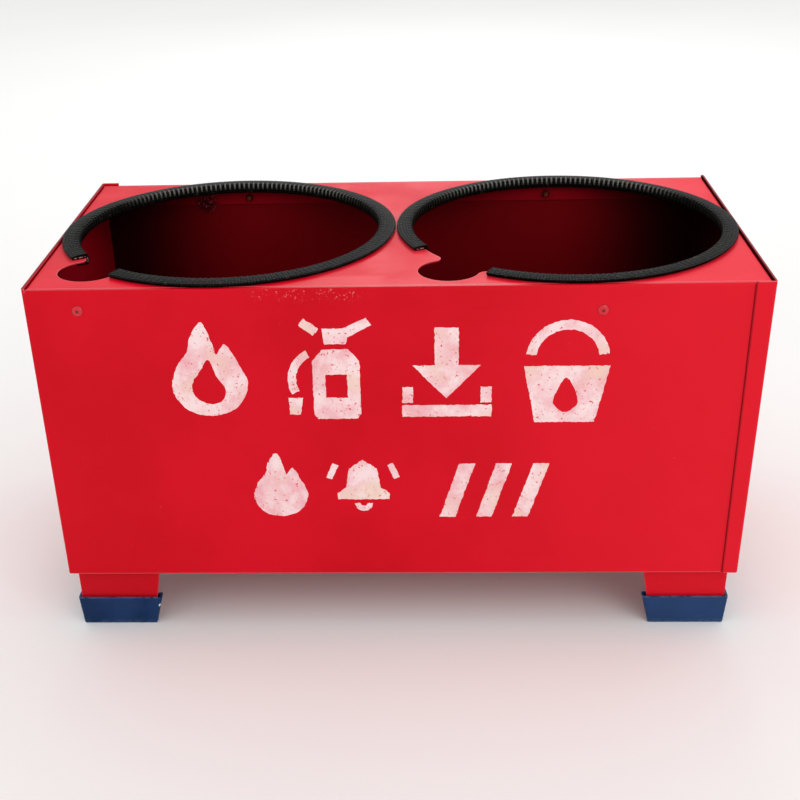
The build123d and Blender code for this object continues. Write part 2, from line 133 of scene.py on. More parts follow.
def red_enamel(name, reds, inner_shade_red, dust_and_sheen_amount, edge_highlight, gloss):
    """Alkyd enamel sprayed on sheet steel: glossy orange-peel skin over slightly wavy metal, with
    dust and a painted sheen that pale and dull the level faces, small chips and a painted highlight on
    the edges, and painted shade inside."""
    material, tree, place, axes = new_material(name)
    normal = add_node(tree, "ShaderNodeNewGeometry").outputs["Normal"]
    facing = add_node(tree, "ShaderNodeSeparateXYZ", {0: normal}).outputs
    # Clouds in the colour, about 60 mm across
    clouds = add_node(tree, "ShaderNodeTexNoise", {"Vector": place, "Scale": 1 / (60 * MM), "Detail": 4.0})
    clouds = add_node(tree, "ShaderNodeMapRange", {0: clouds, 1: 0.3, 2: 0.7}, **SOFT_STEP)
    base = add_node(tree, "ShaderNodeMix", {0: clouds, 6: colour(reds[0]), 7: colour(reds[1])}, **BLEND)
    # Painted light: the right half is painted brighter than the left, where the light falls brighter
    lit_right = add_node(tree, "ShaderNodeMapRange", {
        0: axes[0], 1: BRIGHTER_RIGHT[0], 2: BRIGHTER_RIGHT[1], 4: 0.65}, **SOFT_STEP)
    base = add_node(tree, "ShaderNodeMix", {0: lit_right, 6: base, 7: colour(reds[2])}, **BLEND)
    # Dust and a painted sheen, pale pink on the level faces, thinner where hands and bottles rub
    rubbed = add_node(tree, "ShaderNodeTexNoise", {"Vector": place, "Scale": 1 / (45 * MM), "Detail": 6.0,
                                                   "Roughness": 0.65})
    level = add_node(tree, "ShaderNodeMapRange", {0: facing[2], 1: 0.6, 2: 0.98}, **SOFT_STEP)
    lying = add_node(tree, "ShaderNodeMapRange", {0: rubbed, 1: 0.25, 2: 0.8}, **SOFT_STEP)
    to_left = add_node(tree, "ShaderNodeMapRange", {
        0: axes[0], 1: DUST_AND_SHEEN_SPREAD[0], 2: DUST_AND_SHEEN_SPREAD[1], 3: 0.35, 4: 1.0}, **SOFT_STEP)
    dust_and_sheen_mask = add_node(tree, "ShaderNodeMath", {0: level, 1: lying}, **TIMES)
    dust_and_sheen_mask = add_node(tree, "ShaderNodeMath", {0: dust_and_sheen_mask, 1: to_left}, **TIMES)
    # Painted shade: a strip along the front left is left without the dust and painted sheen
    behind = add_node(tree, "ShaderNodeMapRange", {
        0: axes[1], 1: SHADED_STRIP_FRONT[0], 2: SHADED_STRIP_FRONT[1]}, **SOFT_STEP)
    beside = add_node(tree, "ShaderNodeMapRange", {
        0: axes[0], 1: SHADED_STRIP_RIGHT[0], 2: SHADED_STRIP_RIGHT[1]}, **SOFT_STEP)
    kept = add_node(tree, "ShaderNodeMath", {0: behind, 1: beside}, **GREATER)
    dust_and_sheen_mask = add_node(tree, "ShaderNodeMath", {0: dust_and_sheen_mask, 1: kept}, **TIMES)
    dust_and_sheen_film = add_node(tree, "ShaderNodeMath", {0: dust_and_sheen_mask, 1: dust_and_sheen_amount}, **TIMES)
    base = add_node(tree, "ShaderNodeMix", {0: dust_and_sheen_film, 6: base, 7: colour("#C8686C")}, **BLEND)
    # Fine slanting scratches, 0.4 mm wide and up to 25 mm long
    slanted = add_node(tree, "ShaderNodeMapping", {0: place, "Rotation": (0.3, 0.5, 0.9)})
    stretched = add_node(tree, "ShaderNodeMapping", {
        0: slanted, "Scale": (1 / (25 * MM), 1 / (2.5 * MM), 1 / (0.4 * MM))})
    scratch = add_node(tree, "ShaderNodeTexNoise", {"Vector": stretched, "Scale": 1.0, "Detail": 2.0})
    scratch = add_node(tree, "ShaderNodeMapRange", {0: scratch, 1: 0.74, 2: 0.8, 4: 0.45}, **SOFT_STEP)
    handled = add_node(tree, "ShaderNodeMapRange", {0: rubbed, 1: 0.5, 2: 0.62}, **SOFT_STEP)
    scratch = add_node(tree, "ShaderNodeMath", {0: scratch, 1: handled}, **TIMES)
    base = add_node(tree, "ShaderNodeMix", {0: scratch, 6: base, 7: colour("#F0949A")}, **BLEND)
    # Rubbed band under the front edge, where bottles are dragged over it
    front = add_node(tree, "ShaderNodeMapRange", {
        0: axes[1], 1: WALL_FACE + 0.8 * MM, 2: WALL_FACE + 0.2 * MM})
    under = add_node(tree, "ShaderNodeMapRange", {
        0: axes[2], 1: SCUFF_HEIGHT[0], 2: SCUFF_HEIGHT[1]}, **SOFT_STEP)
    from_left = add_node(tree, "ShaderNodeMapRange", {
        0: axes[0], 1: SCUFF_LEFT[0], 2: SCUFF_LEFT[1]}, **SOFT_STEP)
    from_right = add_node(tree, "ShaderNodeMapRange", {
        0: axes[0], 1: SCUFF_RIGHT[0], 2: SCUFF_RIGHT[1]}, **SOFT_STEP)
    grit = add_node(tree, "ShaderNodeTexNoise", {"Vector": place, "Scale": 1 / (2.6 * MM), "Detail": 5.0,
                                                 "Distortion": 2.5})
    scuff = add_node(tree, "ShaderNodeMapRange", {0: grit, 1: 0.6, 2: 0.68, 4: 0.7}, **SOFT_STEP)
    for mask in (front, under, from_left, from_right):
        scuff = add_node(tree, "ShaderNodeMath", {0: scuff, 1: mask}, **TIMES)
    base = add_node(tree, "ShaderNodeMix", {0: scuff, 6: base, 7: colour("#F58A90")}, **BLEND)
    # Chips down to the primer along the outer top edges
    chip = add_node(tree, "ShaderNodeTexNoise", {"Vector": place, "Scale": 1 / (3.8 * MM), "Detail": 3.0})
    chip = add_node(tree, "ShaderNodeMapRange", {0: chip, 1: 0.68, 2: 0.72, 4: 0.7}, **SOFT_STEP)
    edge = add_node(tree, "ShaderNodeMapRange", {
        0: axes[2], 1: PANEL_TOP - 1.8 * MM, 2: PANEL_TOP - 0.2 * MM})
    chip = add_node(tree, "ShaderNodeMath", {0: chip, 1: edge}, **TIMES)
    off_top = add_node(tree, "ShaderNodeMapRange", {0: facing[2], 1: 0.9, 2: 0.6})
    chip = add_node(tree, "ShaderNodeMath", {0: chip, 1: off_top}, **TIMES)
    base = add_node(tree, "ShaderNodeMix", {0: chip, 6: base, 7: colour("#6A1418")}, **BLEND)
    # Painted highlight: pale pink over the outer edges, 0.8 mm wide
    rounded = add_node(tree, "ShaderNodeBevel", {"Radius": 0.8 * MM}, samples=6)
    turned = add_node(tree, "ShaderNodeVectorMath", {0: rounded, 1: normal},
                      operation="DOT_PRODUCT").outputs["Value"]
    arris = add_node(tree, "ShaderNodeMapRange", {0: turned, 1: 0.995, 2: 0.9, 4: edge_highlight}, **SOFT_STEP)
    reach = add_node(tree, "ShaderNodeVectorMath", {0: place}, operation="ABSOLUTE")
    reach = add_node(tree, "ShaderNodeSeparateXYZ", {0: reach}).outputs
    near_edge = add_node(tree, "ShaderNodeMapRange", {
        0: reach[0], 1: HALF_LENGTH - 13 * MM, 2: HALF_LENGTH - 12.5 * MM})
    for edge_z, inwards in ((PANEL_TOP, -MM), (FLOOR_UNDERSIDE, MM)):
        strip = add_node(tree, "ShaderNodeMapRange", {
            0: axes[2], 1: edge_z + 3 * inwards, 2: edge_z + 2.5 * inwards})
        near_edge = add_node(tree, "ShaderNodeMath", {0: near_edge, 1: strip}, **GREATER)
    arris = add_node(tree, "ShaderNodeMath", {0: arris, 1: near_edge}, **TIMES)
    base = add_node(tree, "ShaderNodeMix", {0: arris, 6: base, 7: colour("#FF8F98")}, **BLEND)
    # Painted shade: a dark line in the seam beside each lap strip's free edge, which leans a little
    lap_side = add_node(tree, "ShaderNodeMath", {0: axes[1]}, operation="SIGN")
    lap_side = add_node(tree, "ShaderNodeMath", {0: lap_side, 1: axes[0]}, **TIMES)
    lean = add_node(tree, "ShaderNodeMapRange", {
        0: axes[2], 1: FLOOR_UNDERSIDE, 2: PANEL_TOP, 3: LAP_BOTTOM, 4: LAP_TOP})
    inset = add_node(tree, "ShaderNodeMath", {0: lap_side, 1: lean}, operation="SUBTRACT")
    inset = add_node(tree, "ShaderNodeMath", {0: inset, 1: END_FACE}, operation="SUBTRACT")
    inset = add_node(tree, "ShaderNodeMath", {0: inset}, operation="ABSOLUTE")
    seam = add_node(tree, "ShaderNodeMapRange", {0: inset, 1: 0.75 * MM, 2: 0.35 * MM, 4: 0.85})
    outermost = add_node(tree, "ShaderNodeMapRange", {
        0: reach[1], 1: HALF_DEPTH - 0.3 * MM, 2: HALF_DEPTH - 0.1 * MM})
    seam = add_node(tree, "ShaderNodeMath", {0: seam, 1: outermost}, **TIMES)
    base = add_node(tree, "ShaderNodeMix", {0: seam, 6: base, 7: colour("#9A0212")}, **BLEND)
    # Painted shade: the side walls' upper edges, where they rise above the top panel, are painted dark
    end_edge = add_node(tree, "ShaderNodeMapRange", {
        0: reach[0], 1: HALF_LENGTH - 1.4 * MM, 2: HALF_LENGTH - 1.2 * MM})
    raised = add_node(tree, "ShaderNodeMapRange", {
        0: axes[2], 1: PANEL_TOP + 0.2 * MM, 2: PANEL_TOP + 0.3 * MM})
    end_edge = add_node(tree, "ShaderNodeMath", {0: end_edge, 1: raised}, **TIMES)
    within = add_node(tree, "ShaderNodeMapRange", {
        0: reach[1], 1: HALF_DEPTH - 0.3 * MM, 2: HALF_DEPTH - 0.9 * MM})
    end_edge = add_node(tree, "ShaderNodeMath", {0: end_edge, 1: within}, **TIMES)
    base = add_node(tree, "ShaderNodeMix", {0: end_edge, 6: base, 7: colour("#8C0216")}, **BLEND)
    # Painted shade inside the box: dark red, darker towards the ends and near the floor
    between_walls = add_node(tree, "ShaderNodeMapRange", {
        0: reach[1], 1: HALF_DEPTH - 0.6 * MM, 2: HALF_DEPTH - 0.9 * MM})
    between_ends = add_node(tree, "ShaderNodeMapRange", {
        0: reach[0], 1: HALF_LENGTH - 0.6 * MM, 2: HALF_LENGTH - 0.9 * MM})
    over_floor = add_node(tree, "ShaderNodeMapRange", {
        0: axes[2], 1: FLOOR_UNDERSIDE + 0.3 * MM, 2: FLOOR_UNDERSIDE + 0.7 * MM})
    below_top = add_node(tree, "ShaderNodeMapRange", {
        0: axes[2], 1: PANEL_TOP - 0.6 * MM, 2: PANEL_TOP - 0.9 * MM})
    on_end = add_node(tree, "ShaderNodeMapRange", {
        0: reach[0], 1: HALF_LENGTH - 1.6 * MM, 2: HALF_LENGTH - 1.3 * MM})
    below_lip = add_node(tree, "ShaderNodeMapRange", {
        0: axes[2], 1: PANEL_TOP + 1.1 * MM, 2: PANEL_TOP + 0.9 * MM})
    on_end = add_node(tree, "ShaderNodeMath", {0: on_end, 1: below_lip}, **TIMES)
    inside = add_node(tree, "ShaderNodeMath", {0: below_top, 1: on_end}, **GREATER)
    for mask in (between_walls, between_ends, over_floor):
        inside = add_node(tree, "ShaderNodeMath", {0: inside, 1: mask}, **TIMES)
    at_ends = add_node(tree, "ShaderNodeMapRange", {
        0: reach[0], 1: SHADE_ENDS[0], 2: SHADE_ENDS[1]}, **SOFT_STEP)
    deep = add_node(tree, "ShaderNodeMapRange", {
        0: axes[2], 1: SHADE_FOOT[0], 2: SHADE_FOOT[1], 4: 0.7}, **SOFT_STEP)
    fade_mask = add_node(tree, "ShaderNodeMath", {0: at_ends, 1: deep}, **GREATER)
    inside_shade = add_node(tree, "ShaderNodeMix", {0: fade_mask, 6: colour(inner_shade_red), 7: colour("#260205")}, **BLEND)
    # Painted light: the left side wall's inside is painted brighter, and its edge above the top panel pale
    # pink as a painted highlight
    left_end = add_node(tree, "ShaderNodeMapRange", {
        0: axes[0], 1: END_FACE + 1.4 * MM, 2: END_FACE + 1.1 * MM})
    inside_shade = add_node(tree, "ShaderNodeMix", {0: left_end, 6: inside_shade, 7: colour("#9A0618")}, **BLEND)
    lip = add_node(tree, "ShaderNodeMath", {0: left_end, 1: raised}, **TIMES)
    inside_shade = add_node(tree, "ShaderNodeMix", {0: lip, 6: inside_shade, 7: colour("#D84A58")}, **BLEND)
    # A grimy smudge on the back flange where a bottle's ring rubs, with bright specks in it
    away = add_node(tree, "ShaderNodeVectorMath", {0: place, 1: SMUDGE_SPOT},
                    operation="DISTANCE").outputs["Value"]
    smudge = add_node(tree, "ShaderNodeMapRange", {0: away, 1: 10 * MM, 2: 3 * MM, 4: 0.8}, **SOFT_STEP)
    inside_shade = add_node(tree, "ShaderNodeMix", {0: smudge, 6: inside_shade, 7: colour("#180204")}, **BLEND)
    specks = add_node(tree, "ShaderNodeMapRange", {0: grit, 1: 0.6, 2: 0.64}, **SOFT_STEP)
    specks = add_node(tree, "ShaderNodeMath", {0: specks, 1: smudge}, **TIMES)
    inside_shade = add_node(tree, "ShaderNodeMix", {0: specks, 6: inside_shade, 7: colour("#C05A5E")}, **BLEND)
    base = add_node(tree, "ShaderNodeMix", {0: inside, 6: base, 7: inside_shade}, **BLEND)
    # Orange peel of about 1.2 mm over waves of about 90 mm in the sheet, and the scuffs' depth
    peel = add_node(tree, "ShaderNodeTexNoise", {"Vector": place, "Scale": 1 / (1.2 * MM), "Detail": 2.0})
    waves = add_node(tree, "ShaderNodeTexNoise", {"Vector": place, "Scale": 1 / (90 * MM), "Detail": 1.0})
    bump = add_node(tree, "ShaderNodeBump", {"Height": waves, "Strength": 1.0, "Distance": 1.2 * MM})
    for height, strength in ((peel, 0.35), (scuff, 0.4)):
        bump = add_node(tree, "ShaderNodeBump", {
            "Height": height, "Strength": strength, "Distance": 0.05 * MM, "Normal": bump})
    rough = add_node(tree, "ShaderNodeMapRange", {0: rubbed, 1: 0.2, 2: 0.8, 3: 0.26, 4: 0.38})
    rough = add_node(tree, "ShaderNodeMath", {0: rough, 1: dust_and_sheen_film}, **PLUS)
    shader = add_node(tree, "ShaderNodeBsdfPrincipled", {
        "Base Color": base, "Roughness": rough, "Normal": bump, "IOR": 1.5, "Specular IOR Level": gloss})
    add_node(tree, "ShaderNodeOutputMaterial", {"Surface": shader})
    return material


def finish_node(name, material):
    """Gives a carried-over CAD node its material."""
    nodes[name].data.materials.clear()
    nodes[name].data.materials.append(material)


wall_enamel = red_enamel(
    "sprayed_red_enamel_walls", ("#CC0219", "#D60620", "#E61A2C"), "#7A0610", 0.1, 0.45, 0.1)
for name in ("front_wrap", "back_wrap"):
    finish_node(name, wall_enamel)

# ---- Floor and top panel ------------------------------------------------------------------------
# Pressed trays of the same sheet, spot-welded between the walls. The top panel lies level and keeps
# dust, and a painted sheen with it makes its enamel paler and duller than the walls, most of all at the back
# left.

top_enamel = red_enamel(
    "sprayed_red_enamel_top", ("#E20A26", "#EA0E2C", "#FA1834"), "#96081A", 0.5, 0.7, 0.07)
finish_node("top_panel", top_enamel)
# The floor panel's red is painted darker than the walls', as shade inside and under the box
floor_enamel = red_enamel(
    "shaded_red_enamel_floor", ("#A00416", "#AC061A", "#AC061A"), "#5A040C", 0.2, 0.2, 0.1)
finish_node("floor_panel", floor_enamel)

# ---- Feet ---------------------------------------------------------------------------------------
# Four stubs of steel angle welded under the floor panel and sprayed with the box, each pushed into
# an L-shaped cap moulded in soft navy blue PVC.

CAP_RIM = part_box("front_left_foot_cap")[1].z
# The legs' red is painted darker than the walls', as shade under the box
shaded_leg_enamel = red_enamel(
    "shaded_red_enamel_legs", ("#C40419", "#CE0820", "#DC1426"), "#B00416", 0.2, 0.2, 0.1)


def moulded_pvc():
    """Soft PVC, moulded: satin skin with a fine spark-eroded grain, scuffed pale on its rim and foot."""
    material, tree, place, axes = new_material("moulded_navy_pvc")
    clouds = add_node(tree, "ShaderNodeTexNoise", {"Vector": place, "Scale": 1 / (17 * MM), "Detail": 5.0})
    clouded = add_node(tree, "ShaderNodeMapRange", {0: clouds, 1: 0.3, 2: 0.7}, **SOFT_STEP)
    base = add_node(tree, "ShaderNodeMix", {0: clouded, 6: colour("#0A2850"), 7: colour("#16345F")}, **BLEND)
    # Painted light: the right-hand caps are painted slightly paler, where the light falls brighter
    paler = add_node(tree, "ShaderNodeMapRange", {0: axes[0], 1: -0.01, 2: 0.01, 4: 0.5})
    base = add_node(tree, "ShaderNodeMix", {0: paler, 6: base, 7: colour("#2C4A76")}, **BLEND)
    # Worn rim and scuffed foot
    grit = add_node(tree, "ShaderNodeTexNoise", {"Vector": place, "Scale": 1 / (3 * MM), "Detail": 6.0})
    normal = add_node(tree, "ShaderNodeNewGeometry").outputs["Normal"]
    rounded = add_node(tree, "ShaderNodeBevel", {"Radius": 0.45 * MM}, samples=6)
    turned = add_node(tree, "ShaderNodeVectorMath", {0: rounded, 1: normal},
                      operation="DOT_PRODUCT").outputs["Value"]
    arris = add_node(tree, "ShaderNodeMapRange", {0: turned, 1: 0.99, 2: 0.86}, **SOFT_STEP)
    rim = add_node(tree, "ShaderNodeMapRange", {
        0: axes[2], 1: CAP_RIM - 0.9 * MM, 2: CAP_RIM - 0.6 * MM})
    rim = add_node(tree, "ShaderNodeMath", {0: rim, 1: arris}, **TIMES)
    worn = add_node(tree, "ShaderNodeMapRange", {0: grit, 1: 0.38, 2: 0.56, 4: 0.85}, **SOFT_STEP)
    rim = add_node(tree, "ShaderNodeMath", {0: rim, 1: worn}, **TIMES)
    base = add_node(tree, "ShaderNodeMix", {0: rim, 6: base, 7: colour("#9FB0C6")}, **BLEND)
    foot = add_node(tree, "ShaderNodeMapRange", {0: axes[2], 1: 3.5 * MM, 2: 0.5 * MM, 4: 0.35})
    foot = add_node(tree, "ShaderNodeMath", {0: foot, 1: worn}, **TIMES)
    base = add_node(tree, "ShaderNodeMix", {0: foot, 6: base, 7: colour("#5E6C82")}, **BLEND)
    # A fleck of white paint on the front left cap
    low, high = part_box("front_left_foot_cap")
    fleck = add_node(tree, "ShaderNodeVectorMath", {0: place, 1: (high.x - 0.8 * MM, low.y, 13.4 * MM)},
                     operation="DISTANCE").outputs["Value"]
    fleck = add_node(tree, "ShaderNodeMapRange", {0: fleck, 1: 1.9 * MM, 2: 1.5 * MM})
    base = add_node(tree, "ShaderNodeMix", {0: fleck, 6: base, 7: colour("#CDE9F4")}, **BLEND)
    # Scratches, 0.6 mm wide
    stretched = add_node(tree, "ShaderNodeMapping", {
        0: place, "Rotation": (0.3, 0.5, 0), "Scale": (1 / (11 * MM), 1 / (11 * MM), 1 / (0.6 * MM))})
    scratch = add_node(tree, "ShaderNodeTexNoise", {"Vector": stretched, "Scale": 1.0, "Detail": 2.0})
    scratch = add_node(tree, "ShaderNodeMapRange", {0: scratch, 1: 0.7, 2: 0.78, 4: 0.25}, **SOFT_STEP)
    base = add_node(tree, "ShaderNodeMix", {0: scratch, 6: base, 7: colour("#6B7E99")}, **BLEND)
    # Mould grain of 0.5 mm
    grain = add_node(tree, "ShaderNodeTexNoise", {"Vector": place, "Scale": 1 / (0.5 * MM), "Detail": 2.0})
    bump = add_node(tree, "ShaderNodeBump", {"Height": grain, "Strength": 0.3, "Distance": 0.06 * MM})
    rough = add_node(tree, "ShaderNodeMapRange", {0: clouds, 1: 0.2, 2: 0.8, 3: 0.36, 4: 0.52})
    shader = add_node(tree, "ShaderNodeBsdfPrincipled", {
        "Base Color": base, "Roughness": rough, "Normal": bump, "IOR": 1.53, "Specular IOR Level": 0.12})
    add_node(tree, "ShaderNodeOutputMaterial", {"Surface": shader})
    return material


cap_pvc = moulded_pvc()
corners = [f"{face}_{side}" for face in ("front", "back") for side in ("left", "right")]
for corner in corners:
    finish_node(f"{corner}_leg", shaded_leg_enamel)
    finish_node(f"{corner}_foot_cap", cap_pvc)

# ---- Blind rivets -------------------------------------------------------------------------------
# Aluminium blind rivets, 3.2 mm, that hold the top panel's flanges to the long walls. Their heads
# were sprayed with the box; the bulged tails inside are painted a dull dark red, as painted shade.

RING_RADIUS = 3.0 * MM
BEAD_RADIUS = 0.15 * MM


def sprayed_rivet(name, tail_colour, stain, paint):
    """Soft metal, cold-set: enamel over the head outside the wall, stained metal of the tail colour inside.
    """
    material, tree, place, axes = new_material(name)
    depth = add_node(tree, "ShaderNodeMath", {0: axes[1]}, operation="ABSOLUTE")
    outside = add_node(tree, "ShaderNodeMapRange", {
        0: depth, 1: HALF_DEPTH - 1.2 * MM, 2: HALF_DEPTH - 0.8 * MM})
    # Stains and paint specks of 1.4 mm
    spots = add_node(tree, "ShaderNodeTexNoise", {"Vector": place, "Scale": 1 / (1.4 * MM), "Detail": 4.0})
    stained = add_node(tree, "ShaderNodeMapRange", {0: spots, 1: 0.42, 2: 0.6}, **SOFT_STEP)
    tail = add_node(tree, "ShaderNodeMix", {0: stained, 6: colour(tail_colour), 7: colour(stain)}, **BLEND)
    coat = add_node(tree, "ShaderNodeMix", {0: spots, 6: colour(paint[0]), 7: colour(paint[1])}, **BLEND)
    base = add_node(tree, "ShaderNodeMix", {0: outside, 6: tail, 7: coat}, **BLEND)
    bump = add_node(tree, "ShaderNodeBump", {"Height": spots, "Strength": 0.4, "Distance": 0.08 * MM})
    rough = add_node(tree, "ShaderNodeMapRange", {0: outside, 3: 0.45, 4: 0.26})
    metallic = add_node(tree, "ShaderNodeMapRange", {0: outside, 3: 0.8, 4: 0.0})
    shader = add_node(tree, "ShaderNodeBsdfPrincipled", {
        "Base Color": base, "Roughness": rough, "Metallic": metallic, "Normal": bump,
        "Specular IOR Level": 0.5})
    add_node(tree, "ShaderNodeOutputMaterial", {"Surface": shader})
    return material


# The rivets' dark red tail colour and the pins' dark red coat, in the heads' holes, are painted shade.
rivet_finish = sprayed_rivet("enamelled_aluminium_rivet", "#6A1218", "#4A0A10", ("#CC051D", "#DA0C28"))
pin_finish = sprayed_rivet("enamelled_steel_pin", "#7A3A30", "#8A4A22", ("#5E0310", "#7E0618"))
for corner in corners:
    finish_node(f"{corner}_rivet", rivet_finish)
    finish_node(f"{corner}_rivet_pin", pin_finish)


def rivet_shade_enamel():
    """The same enamel, painted darker as the shade in the crease round each rivet head, and a little lumpy.
    """
    material, tree, place, axes = new_material("rivet_shade_red_enamel")
    spots = add_node(tree, "ShaderNodeTexNoise", {"Vector": place, "Scale": 1 / (1.1 * MM), "Detail": 3.0})
    base = add_node(tree, "ShaderNodeMix", {0: spots, 6: colour("#7A0210"), 7: colour("#9C0418")}, **BLEND)
    bump = add_node(tree, "ShaderNodeBump", {"Height": spots, "Strength": 0.4, "Distance": 0.05 * MM})
    rough = add_node(tree, "ShaderNodeMapRange", {0: spots, 3: 0.25, 4: 0.4})
    shader = add_node(tree, "ShaderNodeBsdfPrincipled", {
        "Base Color": base, "Roughness": rough, "Normal": bump, "Specular IOR Level": 0.2})
    add_node(tree, "ShaderNodeOutputMaterial", {"Surface": shader})
    return material


def ring_tree():
    """Lays a low ring of paint round each point, turned to face out of the wall."""
    tree = bpy.data.node_groups.new("paint_rings", "GeometryNodeTree")
    tree.interface.new_socket("Places", in_out="INPUT", socket_type="NodeSocketGeometry")
    for label in ("Ring Radius", "Bead Radius"):
        tree.interface.new_socket(label, in_out="INPUT", socket_type="NodeSocketFloat")
    tree.interface.new_socket("Material", in_out="INPUT", socket_type="NodeSocketMaterial")
    tree.interface.new_socket("Rings", in_out="OUTPUT", socket_type="NodeSocketGeometry")
    given = add_node(tree, "NodeGroupInput").outputs
    path = add_node(tree, "GeometryNodeCurvePrimitiveCircle", {
        "Resolution": 40, "Radius": given["Ring Radius"]})
    bead = add_node(tree, "GeometryNodeCurvePrimitiveCircle", {
        "Resolution": 8, "Radius": given["Bead Radius"]})
    ring = add_node(tree, "GeometryNodeCurveToMesh", {0: path, 1: bead})
    laid = add_node(tree, "GeometryNodeInstanceOnPoints", {
        "Points": given["Places"], "Instance": ring, "Rotation": (math.radians(90), 0, 0)})
    plain = add_node(tree, "GeometryNodeRealizeInstances", {0: laid})
    smooth = add_node(tree, "GeometryNodeSetShadeSmooth", {0: plain})
    painted = add_node(tree, "GeometryNodeSetMaterial", {0: smooth, "Material": given["Material"]})
    add_node(tree, "NodeGroupOutput", {0: painted})
    return tree


def applied(name, points, edges, tree, values, attribute=None):
    """Runs a geometry tree on a small mesh with the named inputs, and gives the result as a plain
    mesh object, its doubles merged and its faces turned outwards."""
    start = bpy.data.meshes.new(name)
    start.from_pydata(points, edges, [])
    for label, numbers in (attribute or {}).items():
        start.attributes.new(label, "FLOAT", "POINT").data.foreach_set("value", numbers)
    source = bpy.data.objects.new(name, start)
    bpy.context.scene.collection.objects.link(source)
    modifier = source.modifiers.new("build", "NODES")
    modifier.node_group = tree
    for item in tree.interface.items_tree:
        if item.in_out == "INPUT" and item.name in values:
            modifier[item.identifier] = values[item.name]
    graph = bpy.context.evaluated_depsgraph_get()
    mesh = bpy.data.meshes.new_from_object(source.evaluated_get(graph), depsgraph=graph)
    bpy.data.objects.remove(source)
    work = bmesh.new()
    work.from_mesh(mesh)
    bmesh.ops.remove_doubles(work, verts=work.verts, dist=0.001 * MM)
    bmesh.ops.recalc_face_normals(work, faces=work.faces)
    work.to_mesh(mesh)
    work.free()
    mesh.name = name
    piece = bpy.data.objects.new(name, mesh)
    bpy.context.scene.collection.objects.link(piece)
    return piece


# Each rivet head gets a low ring of this dark enamel: painted shade in the crease where head meets wall.
seats = []
for corner in corners:
    low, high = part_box(f"{corner}_rivet")
    seats.append(((low.x + high.x) / 2, math.copysign(WALL_FACE, low.y), (low.z + high.z) / 2))
rings = applied("rivet_shade_rings", seats, [], ring_tree(), {
    "Ring Radius": RING_RADIUS, "Bead Radius": BEAD_RADIUS, "Material": rivet_shade_enamel()})
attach(rings, "root")

# ---- Edge trims ---------------------------------------------------------------------------------
# Push-on trim round each bottle hole: soft black PVC moulded over a clipped steel strip, bent into
# a channel that grips the sheet. Its skin has a leather grain, and the tight bend draws the nose
# into cross ribs over the clips. The wide upper lip rides over the side wall's edge.

TRIM_CUTS = {"left": (235.0, 212.0), "right": (239.5, 206.0)}  # degrees, where each trim starts and ends
UPPER_REACH = {"left": 10.6, "right": 9.6}   # mm outward from the nose, over the side wall's edge
UPPER_TUCK = {"left": 9.8, "right": 8.7}     # mm outward from the nose, beside the side wall
LOWER_REACH = {"left": 8.0, "right": 7.0}    # mm outward from the nose, under the panel
NOSE_HALF = 3.3                              # mm, half the height of the nose
NOSE_DEPTH = 2.1                             # mm, from the nose to where the lips begin
NOSE_FULLNESS = 0.8                          # 1 is an ellipse, and less is squarer
SHEET_GRIP = 0.62                            # mm, lips' inner faces from the middle of the sheet
CHANNEL_END = (1.7, 1.8)                     # mm outward from the nose, channel's bottom and its corners
RIB_HIGHLIGHT_BACK = (0.045, 0.078)                 # y in metres, where the painted highlight on the rib crests begins and is strongest
RIB_PITCH = 3.1 * MM
RIB_DEPTH = 0.16 * MM
STEPS_PER_RIB = 8
GRAIN_ROW = RIB_PITCH / 2
GRAIN_WIDTH = 1.7 * MM


def trim_outline(side):
    """Section of the trim in mm: x outward from the nose, y up from the middle of the sheet, and how
    strongly each point shows the ribs. It starts and ends in the bottom of the channel."""
    reach, tuck, under = UPPER_REACH[side], UPPER_TUCK[side], LOWER_REACH[side]
    outline = [(CHANNEL_END[0], 0.0, 0.0), (CHANNEL_END[1], SHEET_GRIP, 0.0), (tuck - 0.5, SHEET_GRIP, 0.0),
               (tuck, 1.0, 0.0), (tuck, 1.75, 0.0), (reach - 0.15, 1.88, 0.0), (reach, 2.1, 0.1),
               (reach - 0.2, 2.45, 0.1), (reach - 0.9, 2.7, 0.15)]
    # The upper lip rises to the nose in a shallow curve
    for step in range(5, 0, -1):
        part = step / 6
        rise = NOSE_HALF - 0.6 * part ** 2
        outline.append((NOSE_DEPTH + (reach - 3.0) * part, rise, 0.2 + 0.08 * (6 - step)))
    for turn in range(0, 181, 12):
        x, y = math.cos(math.radians(90 + turn)), math.sin(math.radians(90 + turn))
        outline.append((NOSE_DEPTH - NOSE_DEPTH * abs(x) ** NOSE_FULLNESS,
                        math.copysign(NOSE_HALF * abs(y) ** NOSE_FULLNESS, y), 1.0))
    outline += [(under - 0.9, -3.0, 0.5), (under - 0.2, -2.5, 0.1), (under, -1.8, 0.0),
                (under - 0.1, -1.0, 0.0), (under - 0.6, -SHEET_GRIP, 0.0), (CHANNEL_END[1], -SHEET_GRIP, 0.0)]
    return outline


